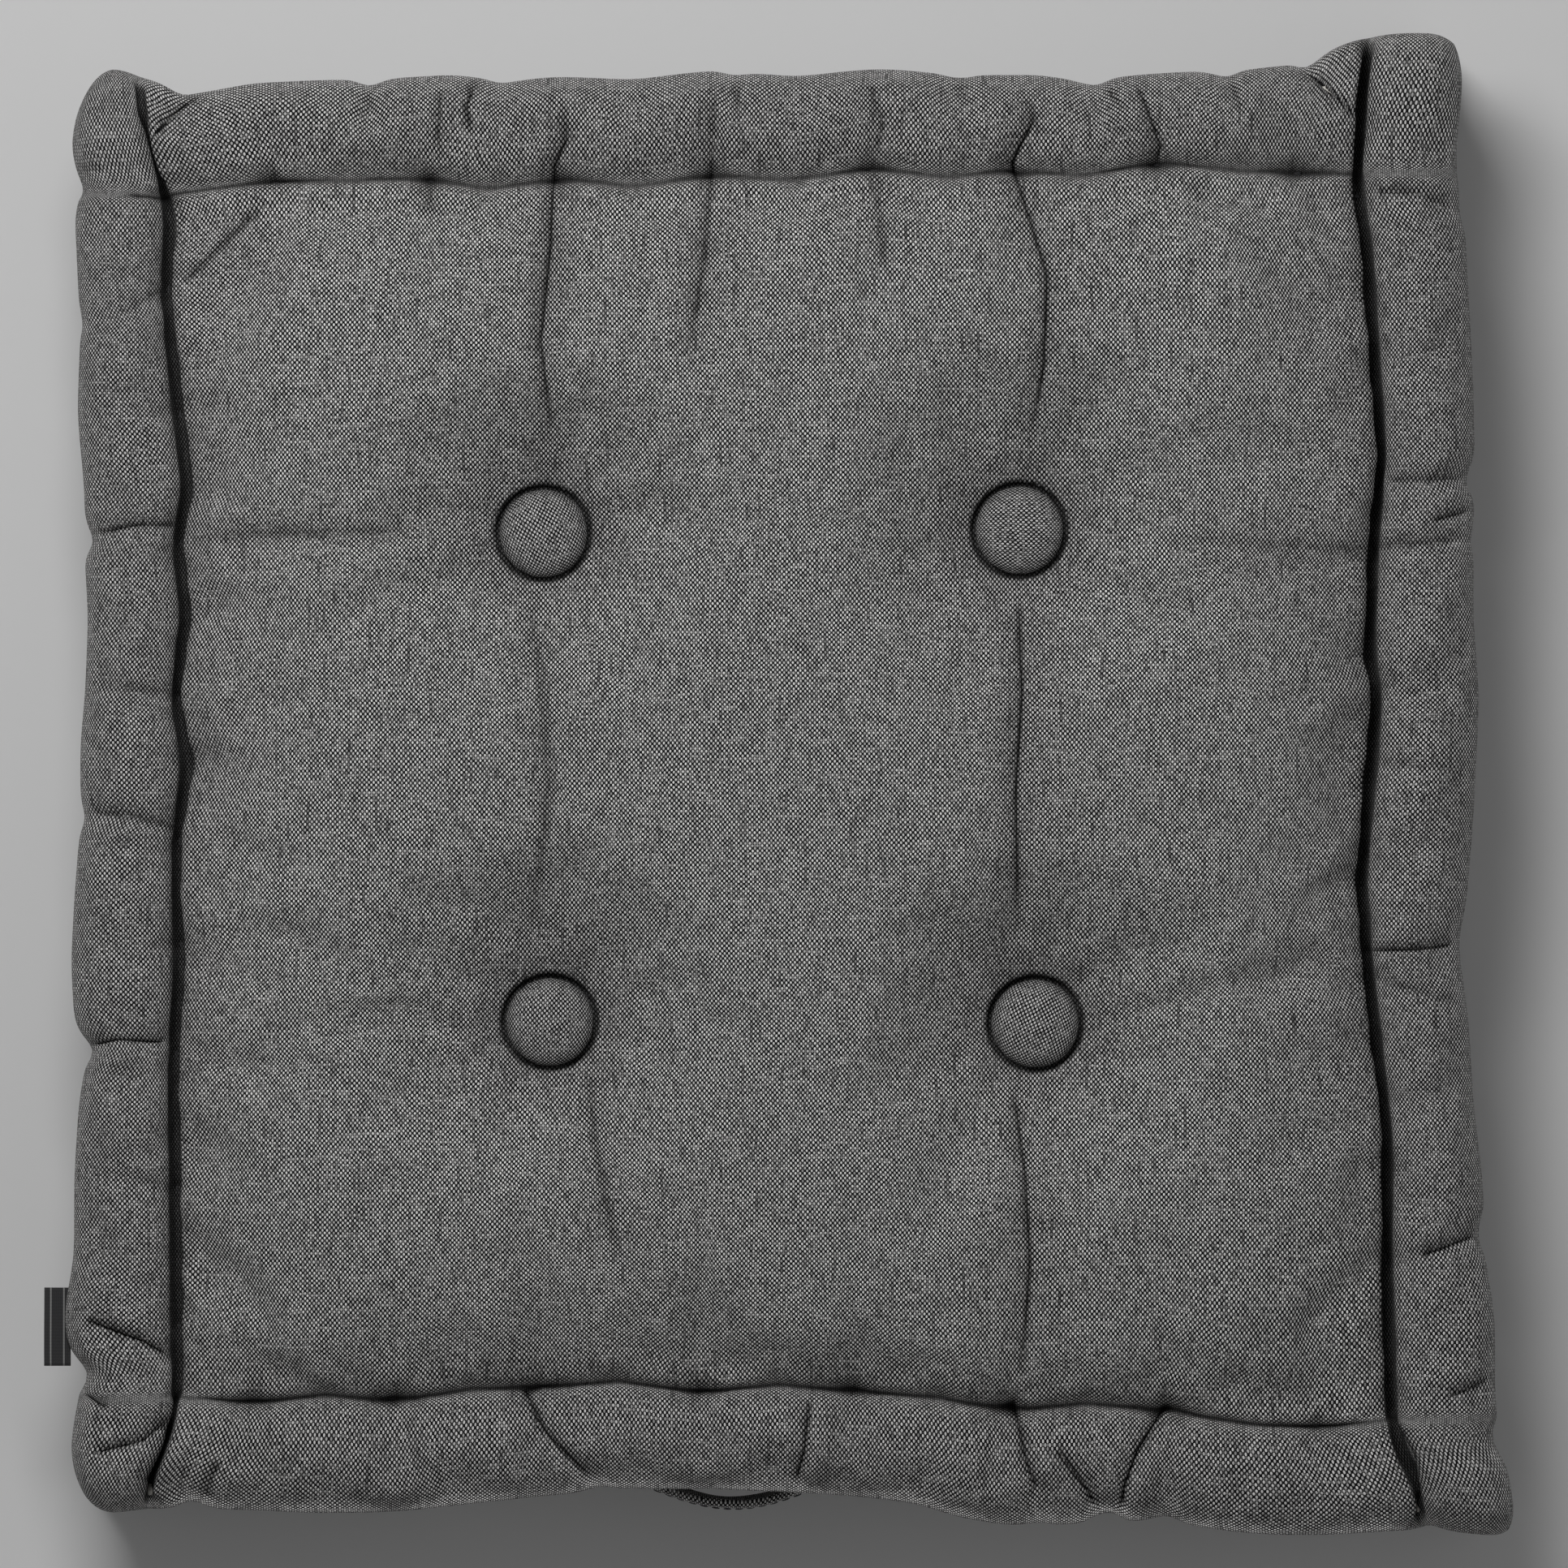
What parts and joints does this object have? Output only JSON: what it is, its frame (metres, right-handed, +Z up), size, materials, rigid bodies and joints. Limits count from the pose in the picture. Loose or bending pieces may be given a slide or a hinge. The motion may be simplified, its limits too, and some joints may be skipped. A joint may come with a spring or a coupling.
{
  "type": "floor cushion",
  "caption": "Square tufted floor cushion in grey woven canvas, with rolled hand-tacked edges, boxed sides, covered buttons, a fabric carry strap and a folded side label",
  "frame": {"origin": "on the floor under the middle of the cushion, at the centre of the underside", "axes": "+Z up through the seat, +X to the right, +Y to the back; the carry strap is on the front (-Y) side and the label in the left (-X) seam"},
  "size_m": [0.4672, 0.466, 0.1],
  "materials": {
    "canvas": "coarse plain-weave melange cotton canvas",
    "fibre": "carded fibre filling",
    "thread": "dark waxed sewing thread",
    "twine": "waxed tufting twine",
    "label_cloth": "black woven label tape",
    "steel": "tinned steel"
  },
  "bodies": {
    "cushion": {"top_panel": "canvas", "bottom_panel": "canvas", "fibre_filling": "fibre", "boxing_front": "canvas", "boxing_back": "canvas", "boxing_left": "canvas", "boxing_right": "canvas", "edge_twine_top_front": "thread", "edge_twine_top_back": "thread", "edge_twine_top_left": "thread", "edge_twine_top_right": "thread", "edge_twine_bottom_front": "thread", "edge_twine_bottom_back": "thread", "edge_twine_bottom_left": "thread", "edge_twine_bottom_right": "thread", "handle_end_left": "canvas", "handle_end_right": "canvas", "handle_stitch_left": "thread", "handle_stitch_right": "thread"},
    "tuft_back_left": {"top_button_back_left_cover": "canvas", "top_button_back_left_shell": "steel", "top_button_back_left_back": "steel", "bottom_button_back_left_cover": "canvas", "bottom_button_back_left_shell": "steel", "bottom_button_back_left_back": "steel", "tuft_twine_back_left": "twine"},
    "tuft_back_right": {"top_button_back_right_cover": "canvas", "top_button_back_right_shell": "steel", "top_button_back_right_back": "steel", "bottom_button_back_right_cover": "canvas", "bottom_button_back_right_shell": "steel", "bottom_button_back_right_back": "steel", "tuft_twine_back_right": "twine"},
    "tuft_front_left": {"top_button_front_left_cover": "canvas", "top_button_front_left_shell": "steel", "top_button_front_left_back": "steel", "bottom_button_front_left_cover": "canvas", "bottom_button_front_left_shell": "steel", "bottom_button_front_left_back": "steel", "tuft_twine_front_left": "twine"},
    "tuft_front_right": {"top_button_front_right_cover": "canvas", "top_button_front_right_shell": "steel", "top_button_front_right_back": "steel", "bottom_button_front_right_cover": "canvas", "bottom_button_front_right_shell": "steel", "bottom_button_front_right_back": "steel", "tuft_twine_front_right": "twine"},
    "handle": {"handle_grip": "canvas"},
    "label": {"side_label": "label_cloth"}
  },
  "joints": [
    {"name": "tuft_back_left_turn", "type": "hinge", "parent": "cushion", "child": "tuft_back_left", "pos_m": [-0.0745, 0.0815, 0.05], "axis": [0, 0, 1], "range_deg": [-180, 180]},
    {"name": "tuft_back_right_turn", "type": "hinge", "parent": "cushion", "child": "tuft_back_right", "pos_m": [0.0775, 0.0825, 0.05], "axis": [0, 0, 1], "range_deg": [-180, 180]},
    {"name": "tuft_front_left_turn", "type": "hinge", "parent": "cushion", "child": "tuft_front_left", "pos_m": [-0.0725, -0.0745, 0.05], "axis": [0, 0, 1], "range_deg": [-180, 180]},
    {"name": "tuft_front_right_turn", "type": "hinge", "parent": "cushion", "child": "tuft_front_right", "pos_m": [0.0825, -0.075, 0.05], "axis": [0, 0, 1], "range_deg": [-180, 180]},
    {"name": "handle_lift", "type": "hinge", "parent": "cushion", "child": "handle", "pos_m": [-0.014, -0.21785, 0.046], "axis": [1, 0, 0], "range_deg": [-20, 20], "stiffness_Nm_per_rad": 0.05},
    {"name": "label_fold", "type": "hinge", "parent": "cushion", "child": "label", "pos_m": [-0.22575, -0.172, 0.0765], "axis": [0, 1, 0], "range_deg": [-75, 75], "stiffness_Nm_per_rad": 0.0005}
  ]
}
